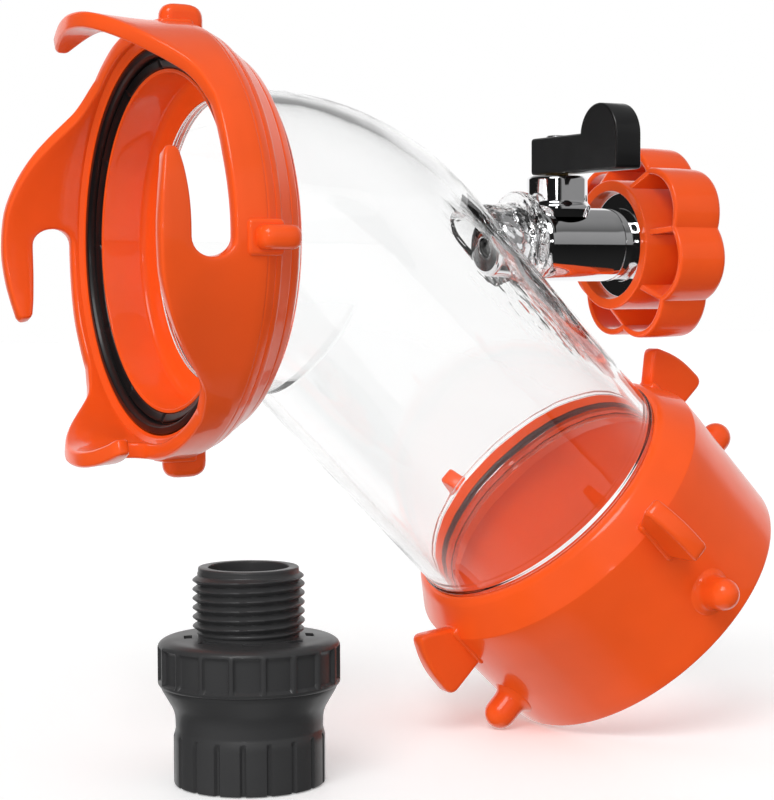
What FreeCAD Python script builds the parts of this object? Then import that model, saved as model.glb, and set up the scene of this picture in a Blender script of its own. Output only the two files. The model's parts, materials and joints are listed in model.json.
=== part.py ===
import FreeCAD, Part
import math
import os

# Rinsing elbow and backflow preventer for a caravan's waste outlet.  Millimetres.
# Frame: the origin is the centre of the bayonet mouth's seal plane, +X runs from the
# mouth into the elbow, +Z is up, and the outlet leg slopes 45 degrees down in the XZ plane.

V = FreeCAD.Vector

# ---- clear elbow -------------------------------------------------------------------
TUBE_R = 38.1            # outside radius of the 3 inch clear tube
WALL = 3.0
BORE_R = TUBE_R - WALL
BEND_R = 41.7            # centreline radius of the bend
BEND_DEG = 45.0
CORNER_X = 44.8          # where the two leg axes cross
LEG = 92.9               # from that crossing to the rim where the clear tube shows last
TUBE_START = 15.5        # front end of the clear tube, inside the sleeve
TUBE_FLANGE_X = (17.3, 19.0)
TUBE_FLANGE_R = 43.4
SPIGOT = 8.3             # length of the clear tube hidden in the lug adapter
BEAD_R = 41.4            # retaining bead on the hidden end
BEAD_W = 2.3
BOSS_R = 10.6            # clear boss that the valve screws into, along the mouth's axis
BOSS_START = 86.0
BOSS_END = 106.0
BOSS_RIM_R = 14.2
BOSS_RIM_W = 3.1

# ---- bayonet end -------------------------------------------------------------------
CLAW_R_IN = 49.4
CLAW_R_OUT = 53.3
CLAWS = 4
COLLAR_FRONT = -2.5      # front edge of the ring between the claws
BODY_BACK = 8.2
SLEEVE_BORE_R = 41.0
SEAL_R_IN = 42.0
SEAL_R_OUT = 47.2
SEAL_DEPTH = 5.0
RING_BACK = 16.9
SLEEVE_R = 43.4          # what the rear collar turns round
SLOT_W = 10.8            # slot that takes a lug pin
GAP = 0.3                # between pieces that move past each other
RUN = 0.05               # radial clearance of a running fit

# ---- lug adapter -------------------------------------------------------------------
LUG_BODY_R = 45.6
LUG_END_R = 44.9
LUG_BORE_R = 42.3
LUG_LEN = 46.0
LUG_PIN_R = 4.2
LUG_PIN_TIP = 54.8
LUG_PIN_AT = 34.4
FIN_TIP = 57.9
FIN_T = 5.2
ADAPTER_ROOT_R = 43.6    # where pins and fins are buried in the adapter's wall
SWIVEL_RING_R = 1.15     # section of the O-ring between the tube and the adapter
SWIVEL_RING_AT = 4.3
RETAINER_W = 3.0

# ---- ball valve --------------------------------------------------------------------
VALVE_X = 117.1          # stem axis
INLET_R = 8.0            # threaded end that screws into the elbow's boss
INLET_START = 86.4
SHOULDER_R = 9.0
SHOULDER_X = 107.8
JET_R = 4.2
BARREL_START = 109.6
BARREL_R = 9.9
CAVITY_R = 8.2
BALL_R = 7.0
BALL_BORE = 4.2
BONNET_R = 8.2
BONNET_TOP = 18.3
STEM_R = 3.2
STEM_SQUARE = 2.2        # half the width of the square that drives the lever
STEM_TOP = 25.4
PACKING_R = 4.4          # seat of the stem's O-ring
PACKING_TOP = 12.2
GLAND_R = 6.6
SEAT_FAR = 8.0           # outer faces of the ball's two seats, from the stem axis
SEAT_NEAR = 4.4
TAIL_BORE = 4.8
SCREW_R = 1.2
SCREW_HEAD_R = 2.8
TAIL_START = 133.0
TAIL_END = 139.6
NECK_R = 8.4
FLANGE_AT = 142.6
FLANGE_T = 2.0
FLANGE_R = 11.6

# ---- lever -------------------------------------------------------------------------
LEVER_T = 7.8
LEVER_BACK = 7.0
LEVER_TIP = -33.6
LEVER_Z = (18.8, 28.7)
TAB_R = 8.4
LEVER_TOP = 36.1

# ---- hose nut (3/4 inch garden hose thread) -------------------------------------------
THREAD_R = 13.6          # female thread, major radius
MALE_THREAD_R = 13.45    # male thread, major radius
LOBES = 7
NUT_X = (139.3, 154.7)
NUT_R = 26.6
NUT_VALLEY = 3.3
NUT_TURN_DEG = 2.4       # how far the first lobe stands from the top
RIB_T = 1.6
NUT_SKIN = 1.8
HUB_FRONT = 134.0
THREAD_START = 147.6
WASHER_T = 2.4
HUB_R = 17.6
HUB_RECESS_R = 14.7
NUT_WEB = 1.8
WASHER_R = 14.1          # seat of a hose washer, beside a female thread

# ---- backflow preventer --------------------------------------------------------------
PREVENTER_AT = V(13.95, -23.2, -130.0)
BASE_R = 18.2
COLLAR_R = 21.9
COLLAR_Z = (23.6, 34.9)
PREVENTER_H = 52.0
OUTLET_BORE = 9.7
INLET_THREAD_END = 10.0
CHAMBER_LOW = 13.2       # web between the inlet thread and the valve's chamber
CHAMBER_R = 12.6
SEAT_Z = 16.2
JOINT_R = 17.4           # where the two halves spigot together
DIAPHRAGM_Z = (27.02, 28.3)
SPRING_R = 4.6
SPRING_WIRE_R = 0.4
SPRING_Z = 21.2
SPRING_H = 9.4
SPRING_PITCH = 2.0
POPPET_STEM_R = 2.0
POPPET_GROOVE_Z = (19.1, 20.1)
POPPET_GROOVE_R = 6.9
GUIDE_Z = (31.4, 33.4)
FLUTES = 18
VENTS = 8

UP = V(0, 0, 1)
ALONG = V(1, 0, 0)
OUTLET_DIR = V(math.cos(math.radians(BEND_DEG)), 0, -math.sin(math.radians(BEND_DEG)))
OUTLET_SIDE = V(-OUTLET_DIR.z, 0, OUTLET_DIR.x)
CORNER = V(CORNER_X, 0, 0)
RIM = CORNER + OUTLET_DIR * LEG


def place(shape, origin, axis, side):
    """Moves a shape built on +Z so that its +Z lies on axis and its +X on side."""
    third = axis.cross(side)
    matrix = FreeCAD.Matrix(side.x, third.x, axis.x, origin.x,
                            side.y, third.y, axis.y, origin.y,
                            side.z, third.z, axis.z, origin.z,
                            0, 0, 0, 1)
    moved = shape.copy()
    moved.Placement = FreeCAD.Placement(matrix)
    return moved


def on_mouth(shape):
    """Local +Z is the bayonet and valve axis (+X of the part), local +X is up."""
    return place(shape, V(0, 0, 0), ALONG, UP)


def on_outlet(shape):
    """Local +Z is the outlet leg's axis, measured from the clear tube's rim."""
    return place(shape, RIM, OUTLET_DIR, OUTLET_SIDE)


def on_stem(shape):
    moved = shape.copy()
    moved.translate(V(VALVE_X, 0, 0))
    return moved


def on_preventer(shape):
    moved = shape.copy()
    moved.translate(PREVENTER_AT)
    return moved


def turned(profile):
    """Solid turned about +Z from a closed outline of (z, radius) points."""
    points = [V(r, 0, z) for z, r in profile]
    face = Part.Face(Part.makePolygon(points + points[:1]))
    return face.revolve(V(0, 0, 0), UP, 360)


def tube(r_in, r_out, z0, z1):
    return turned([(z0, r_in), (z0, r_out), (z1, r_out), (z1, r_in)])


def rod(radius, z0, z1):
    return Part.makeCylinder(radius, z1 - z0, V(0, 0, z0))


def o_ring(mean_r, section_r, z):
    return Part.makeTorus(mean_r, section_r, V(0, 0, z))


def block(x, y, z):
    """Box between three (low, high) pairs."""
    return Part.makeBox(x[1] - x[0], y[1] - y[0], z[1] - z[0], V(x[0], y[0], z[0]))


def fuse(shapes):
    return shapes[0].fuse(shapes[1:]).removeSplitter()


def group(shapes):
    """One compound of separate tools, for a single cut."""
    return Part.makeCompound(shapes)


def around(shape, count, first_deg=0.0):
    """Copies of a shape evenly spaced about +Z."""
    copies = []
    for index in range(count):
        copy = shape.copy()
        copy.rotate(V(0, 0, 0), UP, first_deg + index * 360.0 / count)
        copies.append(copy)
    return copies


# ---- clear elbow -------------------------------------------------------------------

def elbow_solid(radius):
    """Solid filling the bent tube out to a radius, from its front end to its hidden end."""
    bend_start = CORNER_X - BEND_R * math.tan(math.radians(BEND_DEG / 2))
    bend_centre = V(bend_start, 0, -BEND_R)
    front = Part.makeCylinder(radius, bend_start - TUBE_START, V(TUBE_START, 0, 0), ALONG)
    section = Part.Face(Part.Wire(Part.makeCircle(radius, V(bend_start, 0, 0), ALONG)))
    bend = section.revolve(bend_centre, V(0, 1, 0), BEND_DEG)
    leg_start = CORNER + OUTLET_DIR * (CORNER_X - bend_start)
    leg_length = LEG - (CORNER_X - bend_start) + SPIGOT
    leg = Part.makeCylinder(radius, leg_length, leg_start, OUTLET_DIR)
    return fuse([front, bend, leg])


def clear_elbow():
    outside = elbow_solid(TUBE_R)
    bead = on_outlet(tube(BORE_R + 1, BEAD_R, SPIGOT - BEAD_W, SPIGOT))
    inside = elbow_solid(BORE_R)
    boss = on_mouth(rod(BOSS_R, BOSS_START, BOSS_END))
    boss_rim = on_mouth(rod(BOSS_RIM_R, BOSS_END - BOSS_RIM_W, BOSS_END)).cut(inside)
    flange = on_mouth(tube(BORE_R + 1, TUBE_FLANGE_R, *TUBE_FLANGE_X))
    shell = fuse([outside.cut(inside), bead, flange, boss, boss_rim])
    return shell.cut(on_mouth(rod(INLET_R, BOSS_START - 1, BOSS_END + 1)))


# ---- bayonet end -------------------------------------------------------------------

def seal_sleeve():
    """Liner bonded to the clear tube; its flange turns inside the bayonet ring."""
    joint = TUBE_FLANGE_X[0]
    return on_mouth(turned([(2.6, SLEEVE_BORE_R), (2.6, SEAL_R_IN), (SEAL_DEPTH, SEAL_R_IN),
                            (SEAL_DEPTH, 47.0), (5.4, 47.0), (5.4, 48.6), (7.6, 48.6), (7.6, SLEEVE_R),
                            (joint, SLEEVE_R), (joint, TUBE_R), (TUBE_START, TUBE_R), (TUBE_START, BORE_R),
                            (15.2, 36.0), (14.9, 38.6), (13.9, SLEEVE_BORE_R)]))


def bayonet_seal():
    """Rubber face seal with an outer band, a groove and an inner lip."""
    return on_mouth(turned([(SEAL_DEPTH, SEAL_R_IN), (2.5, SEAL_R_IN), (1.6, 44.1), (2.4, 44.3),
                            (2.4, 44.7), (0.8, 44.9), (0.0, 45.2), (0.0, SEAL_R_OUT),
                            (SEAL_DEPTH, SEAL_R_OUT)]))


def claw():
    """One hooked claw, as a radial prism trimmed to the ring's shell; its finger points to -Y."""
    mid_r = (CLAW_R_IN + CLAW_R_OUT) / 2
    lean = 11.0
    slot_mid = COLLAR_FRONT - SLOT_W / 2

    def at(axial, degrees):
        return V(0, mid_r * math.sin(math.radians(degrees - lean)), axial)

    front = COLLAR_FRONT - SLOT_W
    flank = Part.BSplineCurve()
    flank.interpolate([at(COLLAR_FRONT, 52), at(-4.0, 44), at(-7.6, 36), at(-13.8, 26), at(-18.6, 15),
                       at(-20.2, 9), at(-20.8, 2), at(-20.8, -4), at(-20.2, -10), at(-18.4, -20.5)])
    tip = Part.Arc(at(-18.4, -20.5), at(-16.8, -22.4), at(-14.9, -20)).toShape()
    rear = Part.BSplineCurve()
    rear.interpolate([at(-14.9, -20), at(-14.0, -16.5), at(-13.4, -11), at(front, -6), at(front, 0)])
    slot_end = Part.Arc(at(front, 0), at(slot_mid, 4.8), at(COLLAR_FRONT, 0)).toShape()
    base = Part.makePolygon([at(COLLAR_FRONT, 0), at(-1.5, 0), at(-1.5, 52), at(COLLAR_FRONT, 52)])
    edges = [flank.toShape(), tip, rear.toShape(), slot_end] + base.Edges
    outline = Part.Face(Part.Wire(Part.__sortEdges__(edges)))
    outline.translate(V(CLAW_R_IN - 8, 0, 0))
    prism = outline.extrude(V(16, 0, 0))
    prism.rotate(V(0, 0, 0), UP, lean)
    return prism.common(tube(CLAW_R_IN, CLAW_R_OUT, -22, 0))


def ring_grip():
    """Rounded bar on a low pad, for turning the ring by hand."""
    bar = block((51, 58), (-2.8, 2.8), (2.0, 12.8))
    outer_edges = [e for e in bar.Edges if min(v.X for v in e.Vertexes) > 57]
    bar = bar.makeFillet(2.2, outer_edges)
    pad = block((50, 54), (-4.2, 4.2), (0.3, 9.5))
    return bar.fuse(pad)


def bayonet_ring():
    seal_seat = SEAL_R_OUT + GAP
    body = turned([(COLLAR_FRONT, CLAW_R_IN), (COLLAR_FRONT, CLAW_R_OUT), (5.8, CLAW_R_OUT),
                   (BODY_BACK, 52.0), (BODY_BACK, 49.0), (5.1, 49.0), (5.1, seal_seat), (0, seal_seat),
                   (0, 48.4), (-1.0, CLAW_R_IN)])
    trimmed_grips = [grip.cut(rod(50.5, -3, 14)) for grip in around(ring_grip(), CLAWS)]
    hooked = fuse([body] + around(claw(), CLAWS))
    return on_mouth(hooked.fuse(trimmed_grips))


def ring_rear_collar():
    """Stepped cover bonded behind the ring; traps the sleeve's flange."""
    bore = SLEEVE_R + GAP
    collar = turned([(7.9, bore), (7.9, 49.0), (BODY_BACK, 49.0), (BODY_BACK, 52.0), (9.9, 51.2),
                     (10.2, 50.6), (13.7, 48.4), (14.0, 47.8), (14.3, 47.9), (16.4, 46.6),
                     (RING_BACK, 45.8), (RING_BACK, bore)])
    return on_mouth(collar.cut(fuse(around(ring_grip(), CLAWS))))


# ---- lug adapter -------------------------------------------------------------------

def lug_pin():
    stub = rod(LUG_PIN_R, ADAPTER_ROOT_R, LUG_PIN_TIP - LUG_PIN_R * 0.8)
    head = Part.makeSphere(LUG_PIN_R, V(0, 0, LUG_PIN_TIP - LUG_PIN_R))
    pin = fuse([stub.cut(rod(LUG_PIN_R + 1, LUG_PIN_TIP - LUG_PIN_R, LUG_PIN_TIP)), head])
    pin.rotate(V(0, 0, 0), V(0, 1, 0), 90)
    pin.translate(V(0, 0, LUG_PIN_AT))
    return pin


def grip_fin():
    """Fan-shaped finger fin: narrow at the adapter, wide and rounded at its outer edge."""
    points = [V(43.8, 0, 6.7), V(52.9, 0, -0.6), V(FIN_TIP - 0.8, 0, 8.0), V(FIN_TIP, 0, 18.6),
              V(43.8, 0, 18.4)]
    fin = Part.Face(Part.makePolygon(points + points[:1])).extrude(V(0, FIN_T, 0))
    fin.translate(V(0, -FIN_T / 2, 0))
    corners = [e for e in fin.Edges if min(v.X for v in e.Vertexes) > 49 and abs(e.Length - FIN_T) < 0.01]
    return fin.makeFillet(1.6, corners)


def lug_adapter():
    shell = turned([(0.3, TUBE_R + GAP), (0.3, 39.2), (1.0, 40.6), (8.8, LUG_BODY_R), (14.0, LUG_BODY_R),
                    (LUG_LEN - 1.0, LUG_END_R), (LUG_LEN, LUG_END_R - 0.8), (LUG_LEN, LUG_BORE_R + 0.5),
                    (LUG_LEN - 0.5, LUG_BORE_R), (5.7, LUG_BORE_R), (5.7, 40.9), (5.5, 40.7),
                    (3.1, 40.7), (3.1, TUBE_R + GAP)])
    trim = rod(ADAPTER_ROOT_R - 0.2, 0, LUG_LEN)
    details = [piece.cut(trim) for piece in around(lug_pin(), 4) + around(grip_fin(), 4)]
    return on_outlet(fuse([shell] + details))


def adapter_o_ring():
    return on_outlet(o_ring(TUBE_R + RUN + SWIVEL_RING_R, SWIVEL_RING_R, SWIVEL_RING_AT))


def adapter_retaining_ring():
    """Ring pressed into the adapter behind the tube's bead, so that the adapter can't pull off."""
    near = SPIGOT + GAP
    far = near + RETAINER_W
    return on_outlet(turned([(near, 36.2), (near, LUG_BORE_R), (far, LUG_BORE_R), (far, 37.4)]))


# ---- ball valve --------------------------------------------------------------------

def valve_body():
    """Casting: threaded inlet with a jet, shoulder, barrel round the ball and bonnet."""
    barrel = on_mouth(turned([(INLET_START, 0), (INLET_START, INLET_R - 0.8), (INLET_START + 0.8, INLET_R),
                              (SHOULDER_X, INLET_R), (SHOULDER_X, SHOULDER_R), (BARREL_START, SHOULDER_R),
                              (BARREL_START + 0.9, BARREL_R), (TAIL_START, BARREL_R), (TAIL_START, 0)]))
    bonnet = on_stem(turned([(2, 0), (2, BONNET_R - 0.5), (10.6, BONNET_R - 0.5), (11.3, BONNET_R),
                             (BONNET_TOP - 0.5, BONNET_R), (BONNET_TOP, BONNET_R - 0.5), (BONNET_TOP, 0)]))
    cavity = on_mouth(rod(CAVITY_R, VALVE_X - SEAT_FAR, TAIL_START + 1))
    jet = on_mouth(turned([(86, 0), (86, 3.0), (90, 3.0), (93, JET_R), (VALVE_X, JET_R), (VALVE_X, 0)]))
    stem_hole = on_stem(turned([(3, 0), (3, STEM_R + RUN), (9.6, STEM_R + RUN), (9.6, PACKING_R),
                                (PACKING_TOP, PACKING_R), (PACKING_TOP, GLAND_R), (BONNET_TOP + 1, GLAND_R),
                                (BONNET_TOP + 1, 0)]))
    return barrel.fuse(bonnet).cut(cavity).cut(jet).cut(stem_hole).removeSplitter()


def ball_seat(towards):
    """Seat ring with a spherical face, on the inlet (-1) or outlet (+1) side of the ball."""
    far = VALVE_X + towards * SEAT_FAR
    near = VALVE_X + towards * SEAT_NEAR
    ring = on_mouth(tube(JET_R + 0.4, CAVITY_R, min(far, near), max(far, near)))
    return ring.cut(Part.makeSphere(BALL_R + RUN, V(VALVE_X, 0, 0)))


def valve_ball():
    """Ball shut across the flow at rest: its bore lies along Y."""
    ball = Part.makeSphere(BALL_R)
    bore = Part.makeCylinder(BALL_BORE, 20, V(0, -10, 0), V(0, 1, 0))
    slot = block((-1.5, 1.5), (-8, 8), (4.9, 8))
    return on_stem(ball.cut(bore).cut(slot))


def valve_stem():
    tongue = block((-1.4, 1.4), (-2.6, 2.6), (5.0, 7.2)).common(rod(STEM_R, 4, 8))
    shaft = turned([(7.0, 0), (7.0, STEM_R), (10.0, STEM_R), (10.0, 2.6), (11.8, 2.6), (11.8, STEM_R),
                    (18.2, STEM_R), (18.2, 0)])
    square = block((-STEM_SQUARE, STEM_SQUARE), (-STEM_SQUARE, STEM_SQUARE), (18.0, STEM_TOP))
    screw_hole = rod(SCREW_R, 19.0, STEM_TOP + 1)
    return on_stem(fuse([tongue, shaft, square]).cut(screw_hole))


def stem_o_ring():
    return on_stem(o_ring(3.48, 0.85, 10.9))


def stem_gland():
    """Threaded gland that holds the stem down, with two spanner notches."""
    low = PACKING_TOP + 0.2
    ring = turned([(low, STEM_R + RUN), (low, GLAND_R), (16.6, GLAND_R), (17.2, GLAND_R - 0.6),
                   (17.2, STEM_R + RUN)])
    notch = block((-8, 8), (-0.8, 0.8), (15.8, 18))
    return on_stem(ring.cut(notch))


def valve_tailpiece():
    """Outlet end screwed into the body: closes the ball chamber and carries the hose nut."""
    insert = VALVE_X + SEAT_FAR + 0.2
    flange_end = FLANGE_AT + FLANGE_T
    return on_mouth(turned([(insert, JET_R), (insert, CAVITY_R), (TAIL_START, CAVITY_R),
                            (TAIL_START, BARREL_R), (TAIL_END - 0.8, BARREL_R), (TAIL_END, BARREL_R - 0.8),
                            (TAIL_END, NECK_R), (FLANGE_AT, NECK_R), (FLANGE_AT, FLANGE_R),
                            (flange_end, FLANGE_R), (flange_end, 6.4), (FLANGE_AT - 1.0, TAIL_BORE),
                            (insert + 2.8, TAIL_BORE)]))


def valve_lever():
    thick = LEVER_T / 2
    low, high = LEVER_Z
    bar = block((-thick, thick), (LEVER_TIP, LEVER_BACK), (low, high))
    tab_centre = V(-thick, LEVER_TIP + TAB_R, LEVER_TOP - TAB_R)
    tab = Part.makeCylinder(TAB_R, LEVER_T, tab_centre, V(1, 0, 0))
    tab_root = block((-thick, thick), (LEVER_TIP, LEVER_TIP + 2 * TAB_R), (high - 2, LEVER_TOP - TAB_R))
    lever = fuse([bar, tab, tab_root])
    half_socket = STEM_SQUARE + 0.1
    socket = block((-half_socket, half_socket), (-half_socket, half_socket), (low - 1, STEM_TOP + 0.1))
    sunk_hole = rod(SCREW_R + 0.3, 25, 27).fuse(rod(SCREW_HEAD_R + 0.2, 26.4, high + 1))
    lever = lever.cut(socket).cut(sunk_hole).cut(rod(3.4, low - 1, low + 0.2))
    top_edges = [e for e in lever.Edges if e.BoundBox.ZMin > high - 0.01 and abs(e.BoundBox.XMin) > 3
                 and e.BoundBox.XLength < 0.01]
    return on_stem(lever.makeFillet(0.7, top_edges))


def lever_screw():
    head = rod(SCREW_HEAD_R, 26.5, 28.3)
    shank = rod(SCREW_R, 20.0, 26.6)
    cross = fuse(around(block((-0.4, 2.0), (-0.4, 0.4), (27.4, 29)), 4, 45))
    return on_stem(head.fuse(shank).cut(cross))


# ---- hose nut ----------------------------------------------------------------------

def lobed_wire(radius, z):
    """Closed scalloped outline: round lobes with shallow valleys between them."""
    points = []
    steps = 8 * LOBES
    for index in range(steps):
        phase = 2 * math.pi * index / steps
        wave = abs(math.cos(LOBES * phase / 2)) ** 0.9
        size = radius - NUT_VALLEY * (1 - wave)
        points.append(V(size * math.cos(phase), size * math.sin(phase), z))
    curve = Part.BSplineCurve()
    curve.interpolate(points, PeriodicFlag=True)
    return Part.Wire(curve.toShape())


def lobed_solid(radius, z0, z1):
    return Part.Face(lobed_wire(radius, z0)).extrude(V(0, 0, z1 - z0))


def hose_nut():
    """Flower-shaped coupling nut, hollow towards the valve, with a ribbed hub."""
    front, back = NUT_X
    shell = lobed_solid(NUT_R, front, back).cut(lobed_solid(NUT_R - NUT_SKIN, front - 1, back - NUT_WEB))
    hub = rod(HUB_R, HUB_FRONT, back)
    rib_end = NUT_R - NUT_VALLEY - 0.9
    corners = [V(HUB_R - 1, 0, HUB_FRONT + 0.5), V(rib_end, 0, front + 0.5), V(rib_end, 0, back - 0.5),
               V(HUB_R - 1, 0, back - 0.5)]
    rib = Part.Face(Part.makePolygon(corners + corners[:1])).extrude(V(0, RIB_T, 0))
    rib.translate(V(0, -RIB_T / 2, 0))
    ribs = around(rib, LOBES, 180.0 / LOBES)
    nut = fuse([shell, hub] + ribs)
    front_recess = rod(HUB_RECESS_R, HUB_FRONT - 1, TAIL_END + 0.7)
    neck_hole = rod(NECK_R + RUN, HUB_FRONT, FLANGE_AT)
    thread = rod(THREAD_R, THREAD_START, back + 1)
    washer_seat = rod(WASHER_R, FLANGE_AT - GAP, THREAD_START)
    nut = nut.cut(front_recess).cut(neck_hole).cut(thread).cut(washer_seat)
    nut.rotate(V(0, 0, 0), UP, NUT_TURN_DEG)
    return on_mouth(nut)


def hose_washer():
    near = FLANGE_AT + FLANGE_T + GAP
    return on_mouth(tube(7.0, WASHER_R, near, near + WASHER_T))


# ---- backflow preventer --------------------------------------------------------------

def preventer_inlet_body():
    """Lower half: female hose thread, outside flutes and the chamber for the check valve."""
    shell = turned([(0, THREAD_R + 0.4), (0, BASE_R - 0.5), (0.5, BASE_R), (12.2, BASE_R), (12.8, 17.8),
                    (17.0, 17.8), (17.6, 18.2), (22.8, 21.2), (COLLAR_Z[0], 21.2), (COLLAR_Z[0], JOINT_R),
                    (27.0, JOINT_R), (27.0, CHAMBER_R), (SEAT_Z, CHAMBER_R), (SEAT_Z, 8.2),
                    (CHAMBER_LOW, 8.2), (CHAMBER_LOW, WASHER_R), (INLET_THREAD_END, WASHER_R),
                    (INLET_THREAD_END, THREAD_R), (0.4, THREAD_R)])
    groove = Part.makeCylinder(0.55, 12.0, V(BASE_R + 0.15, 0, -0.1))
    return on_preventer(shell.cut(group(around(groove, FLUTES))))


def preventer_outlet_body():
    """Upper half: knurled collar, vented shoulder and male hose thread."""
    low, high = COLLAR_Z
    joint_r = JOINT_R + 0.02
    shell = turned([(low + 0.02, joint_r), (low + 0.02, 21.4), (low + 0.8, COLLAR_R), (high - 2.2, COLLAR_R),
                    (high - 0.8, COLLAR_R - 0.6), (high, COLLAR_R - 2.2), (high + 0.2, 14.2),
                    (high + 0.2, 12.6), (high + 1.4, MALE_THREAD_R), (PREVENTER_H - 1.6, MALE_THREAD_R),
                    (PREVENTER_H - 0.8, 12.1), (PREVENTER_H, 12.1), (PREVENTER_H, OUTLET_BORE),
                    (31.2, OUTLET_BORE), (28.6, 11.2), (28.6, 12.2), (32.6, CHAMBER_R), (32.6, 16.2),
                    (DIAPHRAGM_Z[1], 16.4), (DIAPHRAGM_Z[1], joint_r)])
    flat = Part.makeCylinder(4.2, high - low - 4.2, V(COLLAR_R + 3.85, 0, low + 1.4))
    vent = block((13.9, 16.0), (-2.2, 2.2), (30, high + 2))
    tools = group(around(flat, FLUTES, 10))
    return on_preventer(shell.cut(tools).cut(group(around(vent, VENTS, 22.5))))


def preventer_washer():
    return on_preventer(tube(7.6, WASHER_R, INLET_THREAD_END + GAP, CHAMBER_LOW))


def preventer_diaphragm():
    """Rubber ring pinched between the two halves; it uncovers the vents when the flow stops."""
    low, high = DIAPHRAGM_Z
    return on_preventer(turned([(low, 9.6), (low, 16.9), (high, 16.9), (high, CHAMBER_R), (high - 0.2, 9.6)]))


def check_seat():
    return on_preventer(turned([(SEAT_Z, 6.4), (SEAT_Z, CHAMBER_R), (SEAT_Z + 2.2, CHAMBER_R),
                                (SEAT_Z + 2.2, 8.0), (SEAT_Z + 1.0, 6.4)]))


def check_poppet():
    """Spring-loaded cone that lifts off the seat when water flows up."""
    stem_top = GUIDE_Z[1] + 1.2
    cone = turned([(17.5, 0), (17.5, 6.2), (18.7, 7.6), (20.6, 7.6), (20.6, POPPET_STEM_R),
                   (stem_top - 0.4, POPPET_STEM_R), (stem_top, POPPET_STEM_R - 0.4), (stem_top, 0)])
    groove = tube(POPPET_GROOVE_R, 9, *POPPET_GROOVE_Z)
    return on_preventer(cone.cut(groove))


def poppet_seal():
    return on_preventer(tube(POPPET_GROOVE_R, 8.4, *POPPET_GROOVE_Z))


def poppet_spring():
    """Coil spring between the cone and the guide."""
    helix = Part.makeHelix(SPRING_PITCH, SPRING_H, SPRING_R)
    helix.translate(V(0, 0, SPRING_Z))
    profile = Part.Wire(Part.makeCircle(SPRING_WIRE_R, V(SPRING_R, 0, SPRING_Z), V(0, 1, 0)))
    return on_preventer(Part.Wire(helix.Edges).makePipeShell([profile], True, True))


def poppet_guide():
    """Spider that guides the poppet's stem and carries the spring's far end."""
    low, high = GUIDE_Z
    hub = rod(SPRING_R + 0.6, low, high)
    rim = tube(8.3, OUTLET_BORE, low, high + 1.0)
    spoke = block((4, 8.8), (-0.7, 0.7), (low, high))
    spider = fuse([hub, rim] + around(spoke, 4))
    return on_preventer(spider.cut(rod(POPPET_STEM_R + RUN, low - 1, high + 1)))


NODES = {
    "clear_elbow": clear_elbow,
    "seal_sleeve": seal_sleeve,
    "bayonet_seal": bayonet_seal,
    "bayonet_ring": bayonet_ring,
    "ring_rear_collar": ring_rear_collar,
    "lug_adapter": lug_adapter,
    "adapter_o_ring": adapter_o_ring,
    "adapter_retaining_ring": adapter_retaining_ring,
    "valve_body": valve_body,
    "ball_seat_inlet": lambda: ball_seat(-1),
    "ball_seat_outlet": lambda: ball_seat(1),
    "valve_ball": valve_ball,
    "valve_stem": valve_stem,
    "stem_o_ring": stem_o_ring,
    "stem_gland": stem_gland,
    "valve_tailpiece": valve_tailpiece,
    "valve_lever": valve_lever,
    "lever_screw": lever_screw,
    "hose_nut": hose_nut,
    "hose_washer": hose_washer,
    "preventer_inlet_body": preventer_inlet_body,
    "preventer_outlet_body": preventer_outlet_body,
    "preventer_washer": preventer_washer,
    "preventer_diaphragm": preventer_diaphragm,
    "check_seat": check_seat,
    "check_poppet": check_poppet,
    "poppet_seal": poppet_seal,
    "poppet_spring": poppet_spring,
    "poppet_guide": poppet_guide,
}

os.makedirs("parts", exist_ok=True)
for name, make in NODES.items():
    shape = make()
    box = shape.BoundBox
    print(f"{name:24s} solids {len(shape.Solids)} valid {shape.isValid()} volume {shape.Volume:9.1f}"
          f"  x {box.XMin:7.2f} {box.XMax:7.2f}  y {box.YMin:7.2f} {box.YMax:7.2f}"
          f"  z {box.ZMin:7.2f} {box.ZMax:7.2f}")
    shape.exportStep(f"parts/{name}.step")
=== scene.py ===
import json
import math

import bmesh
import bpy
import numpy as np
from mathutils import Matrix, Vector
from mathutils.geometry import delaunay_2d_cdt


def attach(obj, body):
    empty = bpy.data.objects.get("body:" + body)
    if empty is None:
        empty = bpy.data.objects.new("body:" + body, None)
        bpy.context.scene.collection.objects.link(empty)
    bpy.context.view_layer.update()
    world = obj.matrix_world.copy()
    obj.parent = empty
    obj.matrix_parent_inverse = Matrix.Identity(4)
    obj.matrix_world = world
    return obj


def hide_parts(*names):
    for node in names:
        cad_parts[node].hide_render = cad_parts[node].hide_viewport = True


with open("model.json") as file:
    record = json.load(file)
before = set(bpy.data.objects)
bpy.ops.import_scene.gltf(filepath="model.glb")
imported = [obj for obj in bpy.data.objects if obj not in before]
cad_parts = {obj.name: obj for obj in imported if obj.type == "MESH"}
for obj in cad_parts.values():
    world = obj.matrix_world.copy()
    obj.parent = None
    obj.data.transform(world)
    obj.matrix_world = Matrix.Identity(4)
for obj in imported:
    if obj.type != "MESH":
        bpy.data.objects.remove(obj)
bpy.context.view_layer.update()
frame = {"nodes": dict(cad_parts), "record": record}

# Lengths are millimetres and become metres when a piece is placed.
MM = 0.001

# Clear tube, its bend and the boss on it
TUBE_R = 38.1
BORE_R = 35.1
BEND_R = 41.7
BEND = math.radians(45)
CREASE = 0.03           # bend radius on the bend's inner side, as a share of the full arc's
CORNER_X = 44.8
LEG = 92.9
TUBE_START = 15.5
TUBE_FLANGE_R = 43.4
SPIGOT = 8.3
SPIGOT_BEAD_R = 41.4
BOSS_R = 10.6
BOSS_START = 86.0
BOSS_END = 106.0
BOSS_RIM_R = 14.2
BOSS_RIM_W = 3.1

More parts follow.
